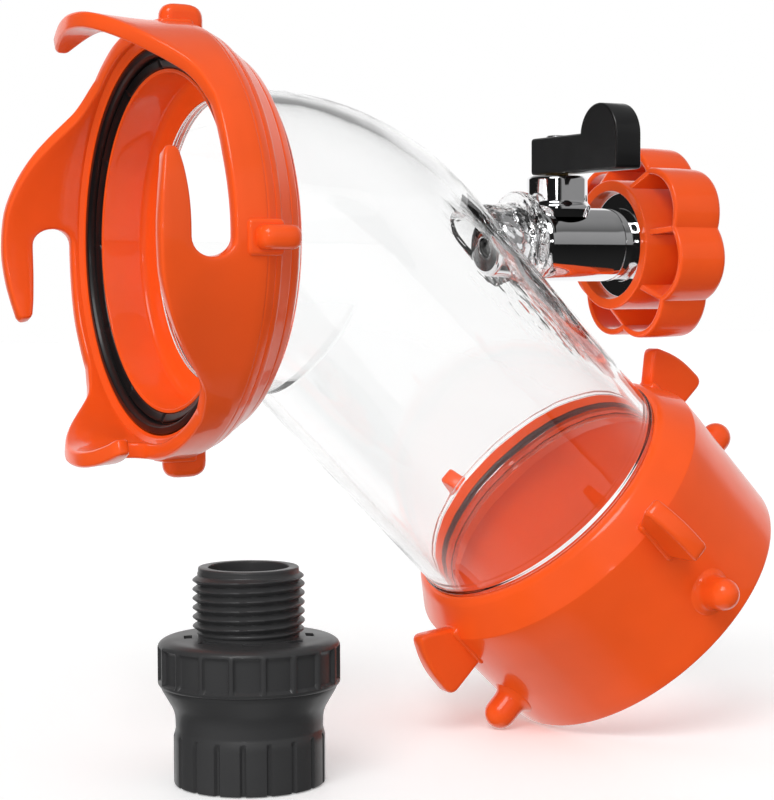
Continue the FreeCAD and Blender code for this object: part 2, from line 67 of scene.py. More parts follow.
# Bayonet ring; the claws' free edge is drawn in claw_outline
CLAW_R_IN = 49.4
CLAW_R_OUT = 53.3
CLAWS = 4
CLAW_BEVEL = 0.75
CLAW_LEAN = 1.1         # how far the tips stand out, over LEAN_RUN in front of LEAN_START
LEAN_START = 3
LEAN_RUN = 17
CLAW_FRONT = -20.0
FILL_STEP = 1.9
FILL_MARGIN = 0.9
RING_EDGE = 5.8
RING_BACK = 16.9

# Seal and its orange liner
SLEEVE_BORE_R = 41.0
SLEEVE_R = 43.4
SEAL_R_IN = 42.0
SEAL_R_OUT = 47.2
SEAL_NICKS = 12
NICK_HALF_WIDTH = 0.016  # as a share of the distance between two nicks
NICK_DEPTH = 0.6

# Lug adapter
LUG_LEN = 46.0
LUG_BORE_R = 42.3
LUG_PIN_R = 4.2
LUG_PIN_TIP = 54.8
LUG_PIN_AT = 34.4
FIN_T = 5.2
LUGS = 4                # and as many fins

# Ball valve
VALVE_X = 117.1
INLET_R = 8.0
INLET_START = 95.0
BARREL_R = 9.9
BONNET_R = 8.2
TAIL_START = 133.0
TAIL_END = 139.6
NECK_R = 8.4
LEVER_T = 7.8
LEVER_BACK = 7.0
LEVER_TIP = -33.6
LEVER_LOW = 18.8
LEVER_HIGH = 28.7
LEVER_TOP = 36.1
LEVER_FILLET = 1.1
TAB_R = 8.4

# Hose nut
LOBES = 7
NUT_FRONT = 139.3
NUT_BACK = 154.7
NUT_R = 26.6
NUT_VALLEY = 3.3
NUT_TURN = 2.4
NUT_SKIN = 1.8
HUB_FRONT = 134.0
HUB_R = 17.6
HUB_RECESS_R = 14.7
THREAD_PITCH = 2.209
THREAD_START = 147.6
FEMALE_R = 13.6
FEMALE_DEPTH = 0.9
FEMALE_RUN = 6.9
FEMALE_STEPS = 12       # rings of vertices for each turn of the thread

# Backflow preventer
PREVENTER_AT = (13.95, -23.2, -130.0)
PREVENTER_H = 52.0
BASE_R = 18.2
COLLAR_R = 21.9
COLLAR_LOW = 23.6
COLLAR_HIGH = 34.9
OUTLET_BORE = 9.7
FLUTES = 18
FLUTE_TOP = 12.3
FLUTE_DEPTH = 0.75
GRIP_DEPTH = 0.85
MALE_R = 13.45
MALE_ROOT_R = 12.15
MALE_RUN = 15.4
MALE_STEPS = 14
VENTS = 8

# Vertices round each turned shape
TUBE_STEPS = 144
RING_STEPS = 192
SEAL_STEPS = 360
BOSS_STEPS = 72
MEDIUM_STEPS = 96
VALVE_STEPS = 128
SMALL_STEPS = 48
NUT_STEPS = 336         # a multiple of the lobes
PREVENTER_STEPS = FLUTES * 24

# Mesh cleaning, in metres, and shading
WELD = 2e-6
SLIVER = 1e-6
HOLE_SIDES = 8
SMOOTH_CORNERS = 12     # faces with this many corners or more are flat ends and stay flat
SUPPORT = 0.15          # width of the narrow flat strip beside a rounded edge

# Photo's camera and the stage, in metres and degrees
CAMERA_LENS = 97.97
CAMERA_AT = (-0.20581, -0.49512, -0.0112)
CAMERA_ANGLES = (-28.657, 2.978, 0.207)     # azimuth, elevation, roll
FLOOR_HALF = 4
FLOOR_GAP = 0.0002
FLOOR_GLOW = 0.22
# What shiny surfaces see, as (height or direction from -1 to 1, grey)
FRONT_TONES = [(-1, 0.85), (-0.86, 0.02), (-0.01, 0.008), (0.01, 0.26), (0.50, 0.34),
               (0.56, 0.12), (0.90, 0.30)]
BACK_TONES = [(-1, 1.05), (0.4, 1.05), (0.55, 0.30), (1, 0.25)]
BACK_EDGE = [(0.05, 0.0), (0.2, 1.0)]
LEFT_EDGE = [(-0.34, 0.0), (-0.22, 1.0)]
LEFT_TONE = 0.012
ROOM_LIGHT = 0.52

BEND_START = CORNER_X - BEND_R * math.tan(BEND / 2)
BEND_END = BEND_START + BEND_R * BEND
OUTLET_DIR = Vector((math.cos(BEND), 0, -math.sin(BEND)))
OUTLET_SIDE = Vector((math.sin(BEND), 0, math.cos(BEND)))


def axes(origin, axis, side):
    """Placement with local +Z on axis and local +X on side, in millimetres."""
    axis = Vector(axis)
    side = Vector(side)
    placement = Matrix((side, axis.cross(side), axis)).transposed().to_4x4()
    placement.translation = Vector(origin)
    return placement


MOUTH = axes((0, 0, 0), (1, 0, 0), (0, 0, 1))
OUTLET = axes(Vector((CORNER_X, 0, 0)) + OUTLET_DIR * LEG, OUTLET_DIR, OUTLET_SIDE)
STEM = axes((VALVE_X, 0, 0), (0, 0, 1), (1, 0, 0))
PREVENTER = axes(PREVENTER_AT, (0, 0, 1), (1, 0, 0))


# ---- mesh helpers ------------------------------------------------------------------

def rounded(outline, steps=4):
    """Outline whose (a, b, fillet) corners are turned into short curves; (a, b) stays sharp."""
    result = []
    count = len(outline)
    for index, point in enumerate(outline):
        here = np.array(point[:2], float)
        if len(point) < 3:
            result.append(here)
            continue
        before = np.array(outline[index - 1][:2], float) - here
        after = np.array(outline[(index + 1) % count][:2], float) - here
        reach_before = min(point[2], 0.48 * np.linalg.norm(before))
        reach_after = min(point[2], 0.48 * np.linalg.norm(after))
        start = here + before / np.linalg.norm(before) * reach_before
        end = here + after / np.linalg.norm(after) * reach_after
        for t in np.linspace(0, 1, steps + 1):
            result.append((1 - t) ** 2 * start + 2 * t * (1 - t) * here + t ** 2 * end)
    return np.array(result)


def divided(loop, longest):
    """Closed loop with its long stretches cut into equal steps."""
    result = []
    for start, end in zip(loop, np.roll(loop, -1, 0)):
        cuts = max(1, math.ceil(np.linalg.norm(end - start) / longest))
        result.extend(start + (end - start) * i / cuts for i in range(cuts))
    return np.array(result)


def smooth_path(points, per):
    """Open Catmull-Rom curve through 2D points, with per steps from each to the next."""
    points = [np.array(p, float) for p in points]
    count = len(points)
    result = []
    for i in range(count - 1):
        p1, p2 = points[i], points[i + 1]
        p0 = points[i - 1] if i else 2 * p1 - p2
        p3 = points[i + 2] if i + 2 < count else 2 * p2 - p1
        for t in np.arange(per) / per:
            result.append(0.5 * (2 * p1 + (p2 - p0) * t + (2 * p0 - 5 * p1 + 4 * p2 - p3) * t * t
                                 + (3 * p1 - p0 - 3 * p2 + p3) * t ** 3))
    result.append(points[-1])
    return np.array(result)


def grid_faces(rows, columns, wrap_rows=True, wrap_columns=True, first=0):
    """Quads over a rows x columns grid of vertices."""
    faces = []
    for i in range(rows if wrap_rows else rows - 1):
        for j in range(columns if wrap_columns else columns - 1):
            k = (j + 1) % columns
            m = (i + 1) % rows
            faces.append((first + i * columns + j, first + i * columns + k,
                          first + m * columns + k, first + m * columns + j))
    return faces


def lathe(outline, steps, shape=None, along=None):
    """Closed (z, radius) outline turned about +Z.

    shape(theta, z, r) may change the radius, and along(vertices) may bend the result.
    """
    theta = np.arange(steps) * 2 * math.pi / steps
    z = np.repeat(outline[:, :1], steps, 1)
    r = np.repeat(outline[:, 1:2], steps, 1)
    angle = np.repeat(theta[None, :], len(outline), 0)
    if shape:
        r = shape(angle, z, r)
    verts = np.stack([r * np.cos(angle), r * np.sin(angle), z], -1).reshape(-1, 3)
    if along:
        verts = along(verts)
    return verts, grid_faces(len(outline), steps)


def inset(loop, distance):
    """Closed counter-clockwise 2D loop moved inwards by a distance."""
    def left(edge):
        return np.stack([-edge[:, 1], edge[:, 0]], 1) / np.linalg.norm(edge, axis=1)[:, None]
    n1 = left(loop - np.roll(loop, 1, 0))
    n2 = left(np.roll(loop, -1, 0) - loop)
    return loop + distance * (n1 + n2) / (1 + (n1 * n2).sum(1))[:, None]


def edge_loops(loop, bevel, thickness, steps=3):
    """(2D loop, height) pairs round a plate's rounded edge, from its low face to its high one."""
    arc = np.linspace(0, math.pi / 2, steps + 1)
    low = [(inset(loop, bevel + SUPPORT), 0.0)]
    low += [(inset(loop, bevel * (1 - math.sin(a))), bevel * (1 - math.cos(a))) for a in arc]
    high = [(flat, thickness - height) for flat, height in reversed(low)]
    return low + high


def plate(outline, thickness, bevel, centred=True):
    """Flat plate with all its edges rounded; its outline is counter-clockwise in local X, Y."""
    loops = edge_loops(outline, bevel, thickness)
    count = len(outline)
    shift = thickness / 2 if centred else 0
    verts = np.concatenate([np.column_stack([flat, np.full(count, height - shift)])
                            for flat, height in loops])
    faces = grid_faces(len(loops), count, wrap_rows=False)
    faces.append(tuple(range(count))[::-1])
    faces.append(tuple(range((len(loops) - 1) * count, len(loops) * count)))
    return verts, faces


def moved(shell, matrix):
    """Shell (vertices, faces) put through a placement."""
    verts, faces = shell
    m = np.array(matrix)
    return verts @ m[:3, :3].T + m[:3, 3], faces


# Stands a plate up: its X points outwards and its Y goes along the axis.
UPRIGHT = Matrix(((1, 0, 0, 0), (0, 0, -1, 0), (0, 1, 0, 0), (0, 0, 0, 1)))


def lying_at(radius):
    """Placement of a plate that lies on a cylinder, its Y along the cylinder's axis."""
    return Matrix(((0, 0, 1, radius), (1, 0, 0, 0), (0, 1, 0, 0), (0, 0, 0, 1)))


def turned(shell, degrees):
    """Shell turned about +Z."""
    return moved(shell, Matrix.Rotation(math.radians(degrees), 4, "Z"))


def around(shell, count, first=0.0):
    """Copies of a shell at equal angles about +Z, from a first angle in degrees."""
    return [turned(shell, first + i * 360.0 / count) for i in range(count)]


def solid(name, shells, placement):
    """Joins shells into one closed object, in metres."""
    verts = []
    faces = []
    for shell_verts, shell_faces in shells:
        offset = sum(len(v) for v in verts)
        verts.append(shell_verts)
        faces.extend(tuple(offset + i for i in face) for face in shell_faces)
    mesh = bpy.data.meshes.new(name)
    m = np.array(placement)
    points = (np.concatenate(verts) @ m[:3, :3].T + m[:3, 3]) * MM
    mesh.from_pydata(points.tolist(), [], faces)
    work = bmesh.new()
    work.from_mesh(mesh)
    bmesh.ops.remove_doubles(work, verts=work.verts, dist=WELD)
    bmesh.ops.dissolve_degenerate(work, edges=work.edges, dist=SLIVER)
    bmesh.ops.delete(work, geom=[edge for edge in work.edges if edge.is_wire], context="EDGES")
    bmesh.ops.holes_fill(work, edges=[edge for edge in work.edges if edge.is_boundary],
                         sides=HOLE_SIDES)
    bmesh.ops.recalc_face_normals(work, faces=work.faces)
    work.to_mesh(mesh)
    work.free()
    obj = bpy.data.objects.new(name, mesh)
    bpy.context.scene.collection.objects.link(obj)
    return obj


def carve(obj, operation, tool):
    """Applies one exact boolean to an object and removes the tool."""
    modifier = obj.modifiers.new("carve", "BOOLEAN")
    modifier.operation = operation
    modifier.solver = "EXACT"
    modifier.object = tool
    depsgraph = bpy.context.evaluated_depsgraph_get()
    result = bpy.data.meshes.new_from_object(obj.evaluated_get(depsgraph))
    obj.modifiers.clear()
    obj.data = result
    bpy.data.objects.remove(tool)


def finished(obj, body, material, replaced, sharp=38):
    """Shades an object and makes it ride on a CAD body."""
    obj.data.shade_smooth()
    obj.data.set_sharp_from_angle(angle=math.radians(sharp))
    for face in obj.data.polygons:
        face.use_smooth = face.loop_total < SMOOTH_CORNERS
    obj.data.materials.clear()
    obj.data.materials.append(material)
    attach(obj, body)
    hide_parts(*replaced)
    return obj


def piece(name, shells, placement, body, material, replaced, sharp=38):
    """One finished object of closed shells that replaces CAD nodes."""
    return finished(solid(name, shells, placement), body, material, replaced, sharp)


# ---- materials ---------------------------------------------------------------------

def shader(name):
    """New material with its nodes and links."""
    material = bpy.data.materials.new(name)
    material.use_nodes = True
    return material, material.node_tree.nodes, material.node_tree.links


def noise(nodes, links, scale, detail=3.0):
    """Noise on the object's own coordinates; scale is in features per metre."""
    place = nodes.new("ShaderNodeTexCoord")
    texture = nodes.new("ShaderNodeTexNoise")
    texture.inputs["Scale"].default_value = scale
    texture.inputs["Detail"].default_value = detail
    texture.inputs["Roughness"].default_value = 0.5
    links.new(place.outputs["Object"], texture.inputs["Vector"])
    return texture.outputs["Fac"]


def spread(nodes, links, source, low, high):
    """Maps a 0.3 to 0.7 noise to a range."""
    node = nodes.new("ShaderNodeMapRange")
    node.inputs["From Min"].default_value = 0.3
    node.inputs["From Max"].default_value = 0.7
    node.inputs["To Min"].default_value = low
    node.inputs["To Max"].default_value = high
    links.new(source, node.inputs["Value"])
    return node.outputs["Result"]


def tint(nodes, links, source, dark, light):
    """Colour between two, by a noise."""
    node = nodes.new("ShaderNodeMix")
    node.data_type = "RGBA"
    node.inputs["A"].default_value = (*dark, 1)
    node.inputs["B"].default_value = (*light, 1)
    links.new(spread(nodes, links, source, 0, 1), node.inputs["Factor"])
    return node.outputs["Result"]


def bumps(nodes, links, source, depth_mm, normal=None):
    """Bumps of a depth, on top of those of another normal if one is given."""
    node = nodes.new("ShaderNodeBump")
    node.inputs["Strength"].default_value = 1.0
    node.inputs["Distance"].default_value = depth_mm * MM
    links.new(source, node.inputs["Height"])
    if normal is not None:
        links.new(normal, node.inputs["Normal"])
    return node.outputs["Normal"]


def moulded(name, color, roughness, grain_mm, depth_mm, coat=0.0, subsurface=0.0, shine=0.5):
    """Injection-moulded plastic or rubber: fine grain, slow colour drift and uneven gloss."""
    material, nodes, links = shader(name)
    bsdf = nodes["Principled BSDF"]
    dark = [c * 0.93 for c in color]
    light = [min(1, c * 1.06) for c in color]
    drift = noise(nodes, links, scale=35)
    links.new(tint(nodes, links, drift, dark, light), bsdf.inputs["Base Color"])
    patches = noise(nodes, links, scale=120)
    links.new(spread(nodes, links, patches, low=roughness * 0.88, high=roughness * 1.14),
              bsdf.inputs["Roughness"])
    waviness = bumps(nodes, links, noise(nodes, links, scale=45, detail=1.0), depth_mm=0.02)
    fine = noise(nodes, links, scale=1000 / grain_mm, detail=2.0)
    grain = bumps(nodes, links, fine, depth_mm, waviness)
    links.new(grain, bsdf.inputs["Normal"])
    bsdf.inputs["Coat Weight"].default_value = coat
    bsdf.inputs["Coat Roughness"].default_value = 0.06
    bsdf.inputs["Specular IOR Level"].default_value = shine
    bsdf.inputs["Subsurface Weight"].default_value = subsurface
    bsdf.inputs["Subsurface Scale"].default_value = 0.002
    return material


def metal(name, color, roughness, depth_mm=0.002):
    """Plated or turned metal with faint polishing marks."""
    material, nodes, links = shader(name)
    bsdf = nodes["Principled BSDF"]
    bsdf.inputs["Metallic"].default_value = 1.0
    dark = [c * 0.94 for c in color]
    drift = noise(nodes, links, scale=80)
    links.new(tint(nodes, links, drift, dark, color), bsdf.inputs["Base Color"])
    patches = noise(nodes, links, scale=300)
    links.new(spread(nodes, links, patches, low=roughness * 0.7, high=roughness * 1.5),
              bsdf.inputs["Roughness"])
    marks = noise(nodes, links, scale=500)
    links.new(bumps(nodes, links, marks, depth_mm), bsdf.inputs["Normal"])
    return material


def along_leg(nodes, links, centre, size):
    """Object coordinates about a centre, turned along the outlet leg and divided by a size.

    Centre and size are (x, y, z) in millimetres.
    """
    place = nodes.new("ShaderNodeTexCoord")
    shift = nodes.new("ShaderNodeVectorMath")
    shift.operation = "SUBTRACT"
    shift.inputs[1].default_value = [c * MM for c in centre]
    turn = nodes.new("ShaderNodeVectorRotate")
    turn.rotation_type = "Y_AXIS"
    turn.inputs["Angle"].default_value = -BEND
    scale = nodes.new("ShaderNodeVectorMath")
    scale.operation = "MULTIPLY"
    scale.inputs[1].default_value = [1 / (c * MM) for c in size]
    links.new(place.outputs["Object"], shift.inputs[0])
    links.new(shift.outputs["Vector"], turn.inputs["Vector"])
    links.new(turn.outputs["Vector"], scale.inputs[0])
    return scale.outputs["Vector"]


def clear_plastic():
    """Water-clear moulded plastic: gently wavy, and crinkled where the boss was moulded on."""
    material, nodes, links = shader("clear_plastic")
    bsdf = nodes["Principled BSDF"]
    bsdf.inputs["Transmission Weight"].default_value = 1.0
    bsdf.inputs["IOR"].default_value = 1.49
    bsdf.inputs["Base Color"].default_value = (0.995, 0.998, 0.998, 1)
    patches = noise(nodes, links, scale=90)
    links.new(spread(nodes, links, patches, low=0.0, high=0.03), bsdf.inputs["Roughness"])
    waves = bumps(nodes, links, noise(nodes, links, scale=45, detail=2.0), depth_mm=0.12)
    near = nodes.new("ShaderNodeVectorMath")
    near.operation = "LENGTH"
    links.new(along_leg(nodes, links, centre=(105, -6, -9), size=(36, 24, 17)), near.inputs[0])
    fade = nodes.new("ShaderNodeMapRange")
    limits = {"From Min": 0.62, "From Max": 1.0, "To Min": 1.0, "To Max": 0.0}
    for name, value in limits.items():
        fade.inputs[name].default_value = value
    links.new(near.outputs["Value"], fade.inputs["Value"])
    grain = nodes.new("ShaderNodeTexNoise")
    grain.inputs["Scale"].default_value = 1.0
    grain.inputs["Detail"].default_value = 2.5
    grain.inputs["Roughness"].default_value = 0.45
    stretched = along_leg(nodes, links, centre=(0, 0, 0), size=(15, 4.5, 4.5))
    links.new(stretched, grain.inputs["Vector"])
    crinkles = nodes.new("ShaderNodeBump")
    crinkles.inputs["Distance"].default_value = 2.2 * MM
    links.new(fade.outputs["Result"], crinkles.inputs["Strength"])
    links.new(grain.outputs["Fac"], crinkles.inputs["Height"])
    links.new(waves, crinkles.inputs["Normal"])
    links.new(crinkles.outputs["Normal"], bsdf.inputs["Normal"])
    return material


ORANGE = moulded("orange_plastic", (0.87, 0.092, 0.010), roughness=0.33, grain_mm=0.35,
                 depth_mm=0.0015, coat=0.5, subsurface=0.05, shine=0.2)
RUBBER = moulded("black_rubber", (0.005, 0.005, 0.0055), roughness=0.40, grain_mm=0.25,
                 depth_mm=0.003, coat=0.1)
BLACK = moulded("black_plastic", (0.003, 0.003, 0.0035), roughness=0.42, grain_mm=0.4,
                depth_mm=0.001, coat=0.3, shine=0.6)
CHARCOAL = moulded("charcoal_plastic", (0.034, 0.034, 0.035), roughness=0.42, grain_mm=0.22,
                   depth_mm=0.004, coat=0.1, shine=0.4)
WHITE = moulded("white_plastic", (0.80, 0.80, 0.77), roughness=0.4, grain_mm=0.3, depth_mm=0.004)
CHROME = metal("chrome", (0.86, 0.86, 0.87), roughness=0.05)
BRASS = metal("brass", (0.78, 0.55, 0.24), roughness=0.22, depth_mm=0.006)
STEEL = metal("steel", (0.62, 0.62, 0.63), roughness=0.25, depth_mm=0.006)
CLEAR = clear_plastic()
SLOTS = {
    "orange_plastic": ORANGE,
    "black_rubber": RUBBER,
    "black_plastic": BLACK,
    "charcoal_plastic": CHARCOAL,
    "white_plastic": WHITE,
    "chrome": CHROME,
    "brass": BRASS,
    "steel": STEEL,
    "clear_plastic": CLEAR,
}


def finish_cad_nodes():
    """Gives every CAD piece that stays visible the material of its slot."""
    for entry in frame["record"]["subparts"]:
        node = frame["nodes"][entry["node"]]
        node.data.materials.clear()
        node.data.materials.append(SLOTS[entry["material_slot"]])


# ---- clear elbow -------------------------------------------------------------------

def along_elbow(verts):
    """Bends a straight tube whose local Z is the distance along its centreline.

    At the mouth that distance equals X.  Round the outside the bend is a smooth arc; towards its
    inside the two legs meet in an almost sharp mitre.
    """
    side, across, distance = verts.T
    slope = math.tan(BEND / 2)
    # 0 on the bend's inner side, 1 on its outer side
    blend = np.clip((side / TUBE_R + 0.05) / 0.85, 0, 1)
    radius = (BEND_R + side) * (CREASE + (1 - CREASE) * blend ** 2 * (3 - 2 * blend))
    straight = CORNER_X + side * slope - radius * slope - BEND_START
    share = np.clip((distance - BEND_START) / (BEND_END - BEND_START), 0, 1)
    run = share * (2 * straight + radius * BEND)
    phi = np.clip((run - straight) / radius, 0, BEND)
    before = np.minimum(distance - BEND_START, 0) + np.minimum(run, straight)
    after = np.maximum(run - straight - radius * BEND, 0) + np.maximum(distance - BEND_END, 0)
    x = BEND_START + before + radius * np.sin(phi) + after * math.cos(BEND)
    z = side - radius * (1 - np.cos(phi)) - after * math.sin(BEND)
    return np.column_stack([x, -across, z])


def tube_stations(start, end):
    """Distances along the tube, packed closely round the crease."""
    half = np.array([0.002, 0.006, 0.015, 0.035, 0.07, 0.12, 0.18, 0.25, 0.33, 0.42])
    shares = np.concatenate([[0], 0.5 - half[::-1], [0.5], 0.5 + half, [1]])
    bend = BEND_START + (BEND_END - BEND_START) * shares
    first_leg = np.linspace(start, BEND_START, 5)[:-1]
    second_leg = np.linspace(BEND_END, end, 34)[1:]
    return np.concatenate([first_leg, bend, second_leg])


def clear_elbow():
    """Mitred tube with a bead at its rim, and the drilled boss for the valve."""
    rim = BEND_END + LEG - (CORNER_X - BEND_START)
    rim_r = TUBE_R + 0.45
    end = rim + SPIGOT
    outer = [(z, TUBE_R) for z in tube_stations(20.5, rim - 2.2)]
    inner = [(z, BORE_R) for z in tube_stations(TUBE_START + 1.5, end - 2.0)[::-1]]
    outline = rounded([
        (TUBE_START + 0.05, BORE_R, 0.4), (TUBE_START + 0.05, TUBE_R - 0.1, 0.3),
        (17.35, TUBE_R - 0.1), (17.35, TUBE_FLANGE_R - 0.2, 0.4), (18.95, TUBE_FLANGE_R - 0.1, 0.5),
        (18.95, TUBE_R, 0.8), *outer, (rim - 1.5, TUBE_R, 0.4), (rim - 1.2, rim_r, 0.3),
        (rim - 0.3, rim_r, 0.3), (rim - 0.1, TUBE_R, 0.2), (end - 2.3, TUBE_R),
        (end - 2.3, SPIGOT_BEAD_R, 0.4), (end, SPIGOT_BEAD_R, 0.5), (end, BORE_R, 0.8), *inner])
    tube = solid("clear_elbow_tube", [lathe(outline, TUBE_STEPS, along=along_elbow)], Matrix())
    # The boss is trimmed by the outlet leg's bore, joined to the tube, and drilled for the valve.
    rim_start = BOSS_END - BOSS_RIM_W
    boss = rounded([
        (BOSS_START, INLET_R - 1), (BOSS_START, BOSS_R, 0.8), (rim_start - 1.0, BOSS_R, 1.0),
        (rim_start, BOSS_R + 1.2, 0.8), (rim_start, BOSS_RIM_R, 1.2), (BOSS_END, BOSS_RIM_R, 1.2),
        (BOSS_END, INLET_R - 1)])
    boss_solid = solid("boss", [lathe(divided(boss, 2.5), BOSS_STEPS)], MOUTH)
    bore_r = BORE_R + 0.4
    bore_start = 30.0
    bore_end = BEND_END + LEG
    bore = rounded([(bore_start, 0.0), (bore_start, bore_r), (bore_end, bore_r), (bore_end, 0.0)])
    leg = OUTLET @ Matrix.Translation((0, 0, -LEG - bore_start))
    carve(boss_solid, "DIFFERENCE", solid("bore", [lathe(divided(bore, 4.0), MEDIUM_STEPS)], leg))
    carve(tube, "UNION", boss_solid)
    hole_r = INLET_R + 0.05
    hole_start = BOSS_START - 30
    hole_end = BOSS_END + 2
    hole = np.array([(hole_start, 0), (hole_start, hole_r), (hole_end, hole_r), (hole_end, 0)])
    carve(tube, "DIFFERENCE", solid("hole", [lathe(divided(hole, 3.0), BOSS_STEPS)], MOUTH))
    finished(tube, "elbow", CLEAR, ["clear_elbow"], sharp=32)
    # A shadow of the clear plastic would darken the adapter behind it.
    tube.visible_shadow = False


# ---- bayonet end -------------------------------------------------------------------

CLAW_MID = (CLAW_R_IN + CLAW_R_OUT) / 2
PERIOD = 360.0 / CLAWS


def claw_outline():
    """Free edge of one quarter of the ring, as (degrees, axial) points from valley to valley."""
    wall = smooth_path(
        [(-38, -2.5), (-30, -2.5), (-22, -2.6), (-14, -2.5), (-7, -2.4), (0, -2.4)], 5)
    slot_end = [(4.8 * math.sin(t), -7.8 + 5.4 * math.cos(t))
                for t in np.linspace(0, math.pi, 15)[1:-1]]
    rear = smooth_path([(0, -13.2), (-6, -13.2), (-11, -13.4), (-16.5, -13.9), (-20.8, -14.6)], 5)
    tip = smooth_path([(-20.8, -14.6), (-21.9, -15.4), (-22.1, -17.3), (-20.9, -18.3)], 4)
    front = smooth_path([(-20.9, -18.3), (-15, -19.4), (-10, -20.2), (-4, -20.8), (2, -20.8),
                         (9, -20.2), (15, -18.6), (20.5, -16.5), (26, -13.8), (31, -10.8),
                         (36, -7.6), (40, -5.3), (44, -4.0), (48, -3.2), (52, -2.5)], 3)
    return np.concatenate([wall, slot_end, rear, tip[1:], front[1:]])


def flare(axial):
    """How far the claws lean outwards in front of the seal."""
    return CLAW_LEAN * np.clip((-axial - LEAN_START) / LEAN_RUN, 0, 1) ** 1.5


def claw_band():
    """Quarter of the hooked shell: edge rounded by offset loops, faces filled between them.

    It is drawn flat, as (distance round the ring, axial), and wrapped round the ring at the end.
    """
    thickness = CLAW_R_OUT - CLAW_R_IN
    scale = math.radians(1) * CLAW_MID
    free = claw_outline() * [scale, 1]
    span = PERIOD * scale
    count = len(free) - 1

    def free_at(distance):
        """The free edge moved into the material; it repeats every quarter."""
        three = np.concatenate([free[:-1] - [span, 0], free[:-1], free[:-1] + [span, 0]])
        return inset(three, distance)[count:2 * count + 1]

    columns = 46
    back = np.column_stack([np.linspace(free[0, 0], free[-1, 0], columns),
                            np.full(columns, RING_EDGE)])
    arc = np.linspace(0, math.pi / 2, 4)
    rims = [(CLAW_BEVEL * (1 - math.sin(a)), CLAW_BEVEL * (1 - math.cos(a))) for a in arc]
    levels = rims + [(d, thickness - h) for d, h in reversed(rims)]
    verts = []
    faces = []

    def wrap(points, height):
        radius = CLAW_R_IN + height + flare(points[:, 1])
        angle = points[:, 0] / CLAW_MID
        return np.column_stack([radius * np.cos(angle), radius * np.sin(angle), points[:, 1]])

    def add_strip(loops):
        first = sum(len(v) for v in verts)
        for points, height in loops:
            verts.append(wrap(points, height))
        faces.extend(grid_faces(len(loops), len(loops[0][0]), False, False, first))

    add_strip([(free_at(d), h) for d, h in levels])
    add_strip([(back - [0, d], h) for d, h in levels])
    for height in (0, thickness):
        inner = free_at(CLAW_BEVEL)
        rear = back - [0, CLAW_BEVEL]
        border = [*rear, *inner[::-1]]
        border_count = len(border)
        filling = []
        for u in np.arange(free[0, 0] + FILL_STEP, free[-1, 0] - 0.5, FILL_STEP):
            for axial in np.arange(CLAW_FRONT, RING_EDGE - 1.5, FILL_STEP):
                if inside(np.array(border), (u, axial), FILL_MARGIN):
                    filling.append((u, axial))
        points = [Vector(p) for p in border + filling]
        edges = [(i, (i + 1) % border_count) for i in range(border_count)]
        flat, _, triangles = delaunay_2d_cdt(points, edges, [], 1, 1e-5)[:3]
        first = sum(len(v) for v in verts)
        verts.append(wrap(np.array([tuple(p) for p in flat]), height))
        faces.extend(tuple(first + i for i in triangle) for triangle in triangles)
    return np.concatenate(verts), faces


def inside(loop, point, margin):
    """True if a point is in a closed 2D loop and at least a margin from its edge."""
    x, y = point
    a = loop
    b = np.roll(loop, -1, 0)
    crosses = (a[:, 1] > y) != (b[:, 1] > y)
    reach = a[:, 0] + (y - a[:, 1]) * (b[:, 0] - a[:, 0]) / np.where(crosses, b[:, 1] - a[:, 1], 1)
    if (crosses & (x < reach)).sum() % 2 == 0:
        return False
    edge = b - a
    t = np.clip(((point - a) * edge).sum(1) / (edge ** 2).sum(1), 0, 1)
    return np.linalg.norm(a + edge * t[:, None] - point, axis=1).min() > margin


def ring_grips():
    """Four fully rounded bars, each on a low square pad."""
    bar_outline = rounded([(50, 2.0), (58, 2.0, 3.4), (58, 12.8, 4.6), (50, 12.8)], 6)
    bar = plate(bar_outline, thickness=5.6, bevel=2.1)
    pad_outline = rounded([(-4.2, 0.3, 1.6), (4.2, 0.3, 1.6), (4.2, 9.5, 1.6), (-4.2, 9.5, 1.6)])
    pad = plate(pad_outline, thickness=4.1, bevel=0.8, centred=False)
    return around(moved(bar, UPRIGHT), CLAWS) + around(moved(pad, lying_at(49.9)), CLAWS)


def bayonet_ring():
    """Four quarters of the hooked shell, the ledge behind them, and the grips."""
    quarter = claw_band()
    ledge = rounded([
        (-1.4, CLAW_R_IN + 0.6), (-0.6, CLAW_R_IN - 0.4, 0.8), (0.2, 48.2, 0.4), (0.2, 47.5),
        (5.1, 47.5), (5.1, 49.0), (8.2, 49.0), (8.2, 52.0, 0.3), (6.1, 53.0, 0.2), (3.0, 53.0),
        (3.0, 50.5), (0.0, 50.5)])
    shells = around(quarter, CLAWS) + [lathe(ledge, RING_STEPS)] + ring_grips()
    piece("bayonet_ring_shell", shells, MOUTH, "bayonet_ring", ORANGE,
          ["bayonet_ring"], sharp=50)


def rear_collar():
    """Stepped cover behind the ring."""
    bore = SLEEVE_R + 0.3
    outline = rounded([
        (7.9, bore), (7.9, 49.0), (8.2, 49.0), (8.2, 52.0, 0.3), (9.9, 51.2, 0.4),
        (10.2, 50.6, 0.3), (13.7, 48.4, 0.5), (14.0, 47.8, 0.2), (14.3, 47.9, 0.2),
        (16.4, 46.6, 0.5), (RING_BACK, 45.8, 0.4), (RING_BACK, bore)])
    piece("ring_rear_cover", [lathe(outline, RING_STEPS)], MOUTH, "bayonet_ring", ORANGE,
          ["ring_rear_collar"])


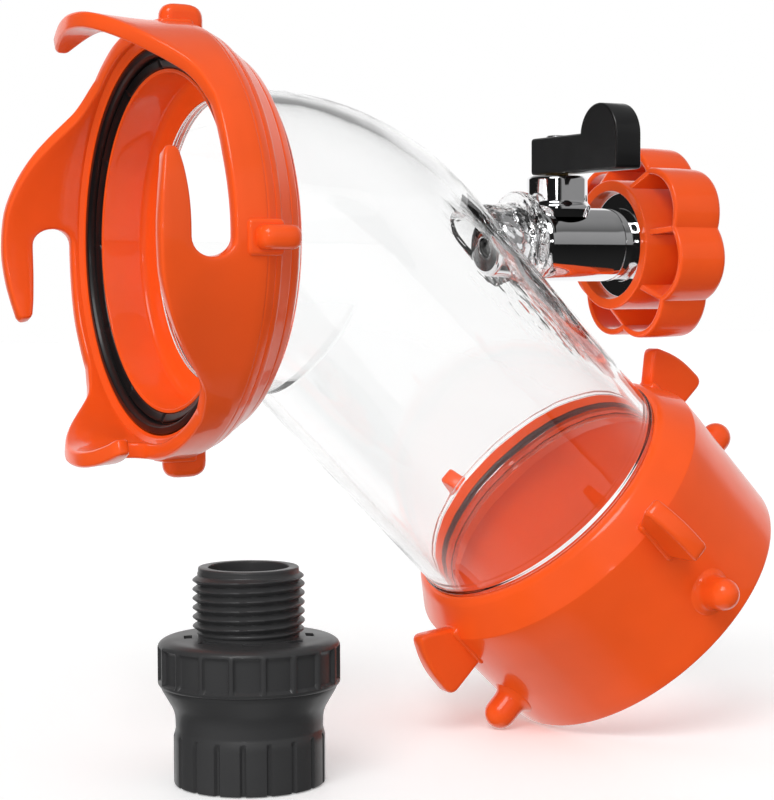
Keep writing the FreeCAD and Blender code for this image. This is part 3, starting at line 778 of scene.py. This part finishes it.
def seal_and_liner():
    """Face seal with its outer band, groove and lip, and the sleeve that carries it."""
    def notched(theta, z, r):
        """Small radial nicks in the seal's inner lip."""
        nick = np.abs((theta * SEAL_NICKS / (2 * math.pi) + 0.5) % 1 - 0.5) < NICK_HALF_WIDTH
        lip = (z < 3) & (r < 44.2)
        return np.where(nick & lip, r + NICK_DEPTH, r)

    seal = rounded([
        (5.0, SEAL_R_IN + 0.05), (2.5, SEAL_R_IN + 0.05, 0.5), (1.6, 44.1, 0.4), (2.4, 44.35),
        (2.4, 44.7), (0.8, 44.95, 0.3), (0.0, 45.4, 0.3), (0.05, SEAL_R_OUT, 0.5),
        (5.0, SEAL_R_OUT)])
    piece("bayonet_seal_ring", [lathe(seal, SEAL_STEPS, notched)], MOUTH, "elbow", RUBBER,
          ["bayonet_seal"])
    liner = rounded([
        (2.6, SLEEVE_BORE_R, 0.3), (2.6, SEAL_R_IN, 0.2), (5.0, SEAL_R_IN), (5.0, 46.9),
        (5.4, 47.0), (5.4, 48.5), (7.6, 48.5), (7.6, SLEEVE_R), (17.3, SLEEVE_R), (17.3, TUBE_R),
        (TUBE_START, TUBE_R), (TUBE_START, BORE_R, 0.3), (15.2, 36.0, 0.5), (14.9, 38.6, 1.0),
        (13.9, SLEEVE_BORE_R, 1.4)])
    piece("seal_liner", [lathe(divided(liner, 2.0), RING_STEPS)], MOUTH, "elbow", ORANGE,
          ["seal_sleeve"])


# ---- lug adapter -------------------------------------------------------------------

def lug_pins():
    """Round-headed pins with a soft root."""
    centre = LUG_PIN_TIP - LUG_PIN_R
    head = [(centre + LUG_PIN_R * math.sin(t), LUG_PIN_R * math.cos(t))
            for t in np.linspace(0, math.pi / 2, 9)]
    profile = rounded([(43.0, 0), (43.0, 6.6), (44.8, 6.4, 0.6), (46.0, LUG_PIN_R + 0.2, 1.4),
                       (48.0, LUG_PIN_R), *head])
    outwards = Matrix(((0, 0, 1, 0), (0, 1, 0, 0), (-1, 0, 0, LUG_PIN_AT), (0, 0, 0, 1)))
    return around(moved(lathe(profile, SMALL_STEPS), outwards), LUGS)


def grip_fins():
    """Fan-shaped fins, each on a low pad: narrow at the root, with a wide, rounded outer edge."""
    fin_outline = rounded([(43.6, 6.7), (52.9, -0.6, 2.8), (57.1, 8.0, 5.0), (57.8, 18.6, 3.0),
                           (43.6, 18.4)], 6)
    fin = plate(fin_outline, thickness=FIN_T, bevel=1.0)
    foot_outline = rounded([(-3.5, 6.0, 1.4), (3.5, 6.0, 1.4), (3.5, 19.3, 1.4), (-3.5, 19.3, 1.4)])
    foot = plate(foot_outline, thickness=3.0, bevel=0.9, centred=False)
    return around(moved(fin, UPRIGHT), LUGS) + around(moved(foot, lying_at(43.1)), LUGS)


def lug_adapter():
    """Conical shell with its pins and fins."""
    shell = rounded([
        (0.3, 38.4), (0.3, 39.2, 0.3), (1.0, 40.6, 0.9), (8.8, 45.6, 0.25), (14.0, 45.6),
        (LUG_LEN, 44.9, 0.9), (LUG_LEN, LUG_BORE_R + 0.2, 0.7), (30.0, LUG_BORE_R),
        (5.7, LUG_BORE_R), (5.7, 40.9), (5.5, 40.7), (3.1, 40.7), (3.1, 38.4)])
    shells = [lathe(divided(shell, 3.0), RING_STEPS)] + lug_pins() + grip_fins()
    piece("lug_adapter_shell", shells, OUTLET, "lug_adapter", ORANGE,
          ["lug_adapter"], sharp=50)


# ---- ball valve --------------------------------------------------------------------

def valve_body():
    """Barrel with its inlet, and the bonnet that holds the stem."""
    casting = rounded([
        (INLET_START, 3.0, 0.3), (INLET_START, INLET_R - 0.9, 0.6),
        (INLET_START + 1, INLET_R - 0.05, 0.5), (107.6, INLET_R - 0.05),
        (107.7, 9.0, 0.4), (109.0, 9.0, 0.3), (110.2, BARREL_R, 0.9),
        (TAIL_START - 0.1, BARREL_R, 0.15), (TAIL_START - 0.1, 8.3), (VALVE_X + 8.2, 8.3),
        (VALVE_X - 7.9, 8.25), (VALVE_X - 8.0, 4.2), (INLET_START + 4, 4.2),
        (INLET_START + 3, 3.0)])
    bonnet = rounded([
        (8.4, 7.2), (7.2, 8.6), (9.2, 9.0, 0.7), (10.4, 8.9, 0.6), (11.2, BONNET_R, 0.7),
        (17.7, BONNET_R, 0.4), (18.3, BONNET_R - 0.6, 0.4), (18.3, 6.9, 0.2), (12.0, 6.62),
        (12.0, 4.4), (9.6, 4.4)])
    barrel = lathe(divided(casting, 2.5), VALVE_STEPS)
    housing = moved(lathe(bonnet, MEDIUM_STEPS), MOUTH.inverted() @ STEM)
    piece("valve_casting", [barrel, housing], MOUTH, "elbow", CHROME, ["valve_body"],
          sharp=45)


def valve_tail():
    """Outlet end of the valve: the disc in the nut's recess, a neck and the collar behind it."""
    insert = VALVE_X + 8.2
    disc_front = TAIL_END - 1.6
    disc_r = HUB_RECESS_R - 0.4
    outline = rounded([
        (insert, 4.8), (insert, 8.2), (TAIL_START, 8.2), (TAIL_START, BARREL_R, 0.15),
        (disc_front, BARREL_R, 0.2), (disc_front, disc_r, 0.3), (TAIL_END, disc_r, 0.3),
        (TAIL_END, NECK_R), (142.6, NECK_R), (142.6, 11.6, 0.3), (144.6, 11.6, 0.3),
        (144.6, 6.4, 0.3), (141.6, 4.8)])
    piece("valve_tail", [lathe(divided(outline, 3.0), VALVE_STEPS)], MOUTH, "elbow", CHROME,
          ["valve_tailpiece"])


def lever():
    """Straight arm with a round thumb tab at its tip, and the screw on the stem."""
    centre_y = LEVER_TIP + TAB_R
    centre_z = LEVER_TOP - TAB_R
    sweep = np.linspace(0, math.pi - 0.25, 25)
    crown = [(centre_y - TAB_R * math.cos(t), centre_z + TAB_R * math.sin(t)) for t in sweep]
    corner = centre_y + math.sqrt(TAB_R ** 2 - (LEVER_HIGH - centre_z) ** 2)
    arm = [(LEVER_TIP, LEVER_LOW, LEVER_FILLET), (LEVER_BACK, LEVER_LOW, LEVER_FILLET),
           (LEVER_BACK, LEVER_HIGH, LEVER_FILLET), (corner, LEVER_HIGH)]
    body = plate(rounded(arm + crown[::-1]), thickness=LEVER_T - 0.04, bevel=0.5)
    piece("lever_body", [moved(body, lying_at(0))], STEM, "valve_lever", BLACK,
          ["valve_lever"], sharp=50)
    bottom = LEVER_HIGH - 0.6
    top = LEVER_HIGH + 0.75
    head = rounded([(bottom, 0), (bottom, 2.9), (LEVER_HIGH + 0.5, 2.9, 0.5), (top, 0.4, 0.3),
                    (top, 0)])
    piece("lever_screw_head", [lathe(head, SMALL_STEPS)], STEM, "valve_lever", STEEL,
          ["lever_screw"])


# ---- hose nut ----------------------------------------------------------------------

def lobed(theta, z, r):
    """Scallops the nut's outside: full lobes at the skin, none at the hub."""
    wave = np.abs(np.cos(LOBES * (theta - math.radians(NUT_TURN)) / 2)) ** 0.9
    share = np.clip((r - HUB_R - 0.5) / (NUT_R - NUT_SKIN - HUB_R - 1.0), 0, 1)
    return r - NUT_VALLEY * (1 - wave) * share


def female_thread(theta, z, r):
    """Thread cut into the bore, right-handed."""
    turn = (z - NUT_BACK) / THREAD_PITCH - theta / (2 * math.pi)
    crest = 1 - 2 * np.abs(turn % 1 - 0.5)
    threaded = (r < FEMALE_R + 0.01) & (z > THREAD_START) & (z < NUT_BACK - 0.8)
    return np.where(threaded, r - FEMALE_DEPTH * crest, r)


def hose_nut():
    """Scalloped skin and threaded hub, joined by ribs."""
    skin = rounded([
        (NUT_FRONT, NUT_R - NUT_SKIN, 0.5), (NUT_FRONT, NUT_R, 0.8), (147, NUT_R),
        (NUT_BACK, NUT_R - 0.3, 1.8), (NUT_BACK, HUB_R - 0.6), (NUT_BACK - 1.8, HUB_R - 0.6),
        (NUT_BACK - 1.8, NUT_R - NUT_SKIN, 1.4)])
    shell = lathe(divided(skin, 2.0), NUT_STEPS, lobed)
    rings = int(FEMALE_STEPS * FEMALE_RUN / THREAD_PITCH)
    bore = [(NUT_BACK - 0.4 - i * THREAD_PITCH / FEMALE_STEPS, FEMALE_R) for i in range(rings)]
    recess = TAIL_END + 0.7
    hub = rounded([
        (HUB_FRONT, HUB_RECESS_R, 0.3), (HUB_FRONT, HUB_R, 0.5), (NUT_BACK, HUB_R),
        (NUT_BACK, FEMALE_R + 0.6, 0.4), *bore, (THREAD_START, FEMALE_R + 0.5),
        (142.3, FEMALE_R + 0.5), (142.3, NECK_R + 0.05), (recess, NECK_R + 0.05),
        (recess, HUB_RECESS_R)])
    rib_end = NUT_R - NUT_VALLEY - 0.9
    rib_root = HUB_R - 0.8
    rib_outline = rounded([(rib_root, HUB_FRONT + 0.5), (rib_end, NUT_FRONT + 0.4),
                           (rib_end, NUT_BACK - 1), (rib_root, NUT_BACK - 1)])
    rib = plate(rib_outline, thickness=1.7, bevel=0.4)
    ribs = around(moved(rib, UPRIGHT), LOBES, 180.0 / LOBES + NUT_TURN)
    shells = [shell, lathe(hub, TUBE_STEPS, female_thread)] + ribs
    nut = piece("hose_nut_flower", shells, MOUTH, "hose_nut", ORANGE,
                ["hose_nut"], sharp=45)
    # Its mirror image would lie across the valve's dark barrel as a ragged orange ring.
    nut.visible_glossy = False


# ---- backflow preventer --------------------------------------------------------------

def fluted(theta, z, r):
    """Narrow vertical grooves in the lower grip."""
    near = np.abs((theta * FLUTES / (2 * math.pi)) % 1 - 0.5) * 2
    groove = np.clip((near - 0.78) / 0.1, 0, 1)
    rise = np.clip((FLUTE_TOP - z) / 0.8, 0, 1) * (r > BASE_R - 1.2)
    return r - FLUTE_DEPTH * groove * rise


def preventer_lower():
    """Lower half: fluted foot, waist and the seat of the collar."""
    shell = rounded([
        (0, FEMALE_R + 0.6, 0.3), (0, BASE_R, 0.5), (11.4, BASE_R), (12.6, BASE_R - 0.3, 0.5),
        (13.2, 17.7, 0.4), (16.4, 17.8, 1.0), (18.2, 18.3, 1.0), (22.8, 21.0, 0.7), (23.6, 21.2),
        (23.6, 17.4), (27.0, 17.4), (27.0, 12.6), (16.2, 12.6), (16.2, 8.2), (13.2, 8.2),
        (13.2, FEMALE_R), (0.6, FEMALE_R)])
    piece("preventer_lower_half", [lathe(divided(shell, 1.0), PREVENTER_STEPS, fluted)], PREVENTER,
          "backflow_preventer", CHARCOAL, ["preventer_inlet_body"], sharp=45)


def collar_and_thread(theta, z, r):
    """Shallow grip flats round the collar and a right-handed hose thread above it."""
    across = np.abs((theta * FLUTES / (2 * math.pi) + 0.3) % 1 - 0.5) * 2
    flat = np.clip((0.86 - across) / 0.06, 0, 1)
    above = np.clip((z - COLLAR_LOW - 1.0) / 0.7, 0, 1)
    below = np.clip((COLLAR_HIGH - 1.6 - z) / 0.7, 0, 1)
    r = np.where(r > COLLAR_R - 0.7, r - GRIP_DEPTH * flat * (above * below), r)
    start = COLLAR_HIGH + 0.9
    stop = PREVENTER_H - 1.3
    turn = (z - start) / THREAD_PITCH - theta / (2 * math.pi)
    crest = np.clip(2.3 * (0.5 - np.abs(turn % 1 - 0.5)), 0, 1)
    fade = np.clip((z - start) / 1.2, 0, 1) * np.clip((stop - z) / 1.0, 0, 1)
    threaded = (z > COLLAR_HIGH + 0.3) & (z < stop + 0.3) & (r > 11.8) & (r < MALE_R + 0.2)
    return np.where(threaded, MALE_ROOT_R + (MALE_R - MALE_ROOT_R) * crest * fade, r)


def preventer_upper():
    """Upper half: collar with its vent slits, and the threaded outlet."""
    top = COLLAR_HIGH
    rings = int(MALE_STEPS * MALE_RUN / THREAD_PITCH)
    threads = [(top + 0.45 + i * THREAD_PITCH / MALE_STEPS, 12.2) for i in range(rings)]
    shell = rounded([
        (COLLAR_LOW + 0.05, 17.45), (COLLAR_LOW + 0.05, 21.5, 0.3),
        (COLLAR_LOW + 0.7, COLLAR_R, 0.3), (top - 1.2, COLLAR_R, 1.0), (top, COLLAR_R - 1.8, 1.3),
        (top + 0.3, 14.2), (top + 0.3, 12.6, 0.3), *threads, (PREVENTER_H - 1.0, 12.1, 0.2),
        (PREVENTER_H, 12.1, 0.5), (PREVENTER_H, OUTLET_BORE, 0.4), (31.2, OUTLET_BORE),
        (28.6, 11.2), (28.6, 12.2), (32.6, 12.6), (32.6, 16.2), (28.3, 16.4), (28.3, 17.45)])
    turned_shell = lathe(divided(shell, 0.7), PREVENTER_STEPS, collar_and_thread)
    body = solid("preventer_upper_half", [turned_shell], PREVENTER)
    slit_outline = rounded([(13.6, -2.3, 0.3), (15.6, -2.3, 0.6), (15.6, 2.3, 0.6),
                            (13.6, 2.3, 0.3)])
    slit = plate(slit_outline, thickness=6.0, bevel=0.05)
    slits = around(moved(slit, Matrix.Translation((0, 0, COLLAR_HIGH - 0.6))), VENTS, 180 / VENTS)
    carve(body, "DIFFERENCE", solid("vents", slits, PREVENTER))
    finished(body, "backflow_preventer", CHARCOAL, ["preventer_outlet_body"],
             sharp=45)


# ---- stage -------------------------------------------------------------------------

def photo_camera():
    """Camera solved from the photo."""
    data = bpy.data.cameras.new("camera")
    data.lens = CAMERA_LENS
    data.sensor_width = 36.0
    data.clip_end = 20
    camera = bpy.data.objects.new("camera", data)
    azimuth, elevation, roll = (math.radians(a) for a in CAMERA_ANGLES)
    camera.rotation_euler = (math.pi / 2 - elevation, roll, azimuth)
    camera.location = CAMERA_AT
    bpy.context.scene.collection.objects.link(camera)
    bpy.context.scene.camera = camera


def soft_sun(name, direction, strength, softness, reflected=True, shadow=True):
    """Parallel light from a direction, so that the whole floor is lit evenly."""
    data = bpy.data.lights.new(name, "SUN")
    data.energy = strength
    data.angle = math.radians(softness)
    data.use_shadow = shadow
    light = bpy.data.objects.new(name, data)
    light.rotation_euler = Vector(direction).to_track_quat("Z", "Y").to_euler()
    light.visible_glossy = reflected
    bpy.context.scene.collection.objects.link(light)


def pale_floor():
    """Matt floor under the preventer, which glows a little and stays out of reflections."""
    material, nodes, links = shader("pale_floor")
    bsdf = nodes["Principled BSDF"]
    patches = noise(nodes, links, scale=3)
    links.new(tint(nodes, links, patches, (0.90, 0.90, 0.90), (0.93, 0.93, 0.93)),
              bsdf.inputs["Base Color"])
    bsdf.inputs["Roughness"].default_value = 0.6
    bsdf.inputs["Emission Color"].default_value = (1, 1, 1, 1)
    bsdf.inputs["Emission Strength"].default_value = FLOOR_GLOW
    level = PREVENTER_AT[2] * MM - FLOOR_GAP
    mesh = bpy.data.meshes.new("floor")
    signs = ((-1, -1), (1, -1), (1, 1), (-1, 1))
    corners = [(x * FLOOR_HALF, y * FLOOR_HALF, level) for x, y in signs]
    mesh.from_pydata(corners, [], [(0, 1, 2, 3)])
    floor = bpy.data.objects.new("floor", mesh)
    floor.data.materials.append(material)
    floor.visible_glossy = False
    floor.visible_diffuse = False
    bpy.context.scene.collection.objects.link(floor)


def ramp(nodes, links, source, stops):
    """Grey levels over a -1 to 1 value, as (value, grey) stops."""
    scaled = nodes.new("ShaderNodeMapRange")
    scaled.inputs["From Min"].default_value = -1.0
    links.new(source, scaled.inputs["Value"])
    node = nodes.new("ShaderNodeValToRGB")
    elements = node.color_ramp.elements
    while len(elements) < len(stops):
        elements.new(0.5)
    for element, (value, grey) in zip(elements, stops):
        element.position = (value + 1) / 2
        element.color = (grey, grey, grey, 1)
    links.new(scaled.outputs["Result"], node.inputs["Fac"])
    return node.outputs["Color"]


def mixed(nodes, links, factor, first, second):
    """Colour that goes from first to second with a factor; each is a grey level or a socket."""
    node = nodes.new("ShaderNodeMix")
    node.data_type = "RGBA"
    links.new(factor, node.inputs["Factor"])
    for socket, value in (("A", first), ("B", second)):
        if isinstance(value, float):
            node.inputs[socket].default_value = (value, value, value, 1)
        else:
            links.new(value, node.inputs[socket])
    return node.outputs["Result"]


def studio():
    """White room and its lights.

    Shiny surfaces see black at the left, white behind, and in front grey above a black half.
    """
    world = bpy.data.worlds.new("studio")
    world.use_nodes = True
    nodes = world.node_tree.nodes
    links = world.node_tree.links
    place = nodes.new("ShaderNodeTexCoord")
    split = nodes.new("ShaderNodeSeparateXYZ")
    links.new(place.outputs["Generated"], split.inputs["Vector"])
    front = ramp(nodes, links, split.outputs["Z"], FRONT_TONES)
    back = ramp(nodes, links, split.outputs["Z"], BACK_TONES)
    behind = ramp(nodes, links, split.outputs["Y"], BACK_EDGE)
    right = ramp(nodes, links, split.outputs["X"], LEFT_EDGE)
    reflected = mixed(nodes, links, right, LEFT_TONE, mixed(nodes, links, behind, front, back))
    path = nodes.new("ShaderNodeLightPath")
    room = mixed(nodes, links, path.outputs["Is Diffuse Ray"], 1.0, ROOM_LIGHT)
    color = mixed(nodes, links, path.outputs["Is Glossy Ray"], room, reflected)
    links.new(color, nodes["Background"].inputs["Color"])
    bpy.context.scene.world = world
    bpy.context.scene.view_settings.view_transform = "Standard"
    soft_sun("key", (-0.5, -0.5, 0.70), 1.35, 30)
    soft_sun("front_fill", (0.0, -0.85, 0.5), 0.55, 60, reflected=False, shadow=False)
    soft_sun("left_fill", (-1.0, -0.15, -0.15), 1.0, 60, reflected=False, shadow=False)
    soft_sun("spark", (-0.55, -0.83, 0.15), 0.10, 6)


finish_cad_nodes()
clear_elbow()
bayonet_ring()
rear_collar()
seal_and_liner()
lug_adapter()
valve_body()
valve_tail()
lever()
hose_nut()
preventer_lower()
preventer_upper()
photo_camera()
pale_floor()
studio()
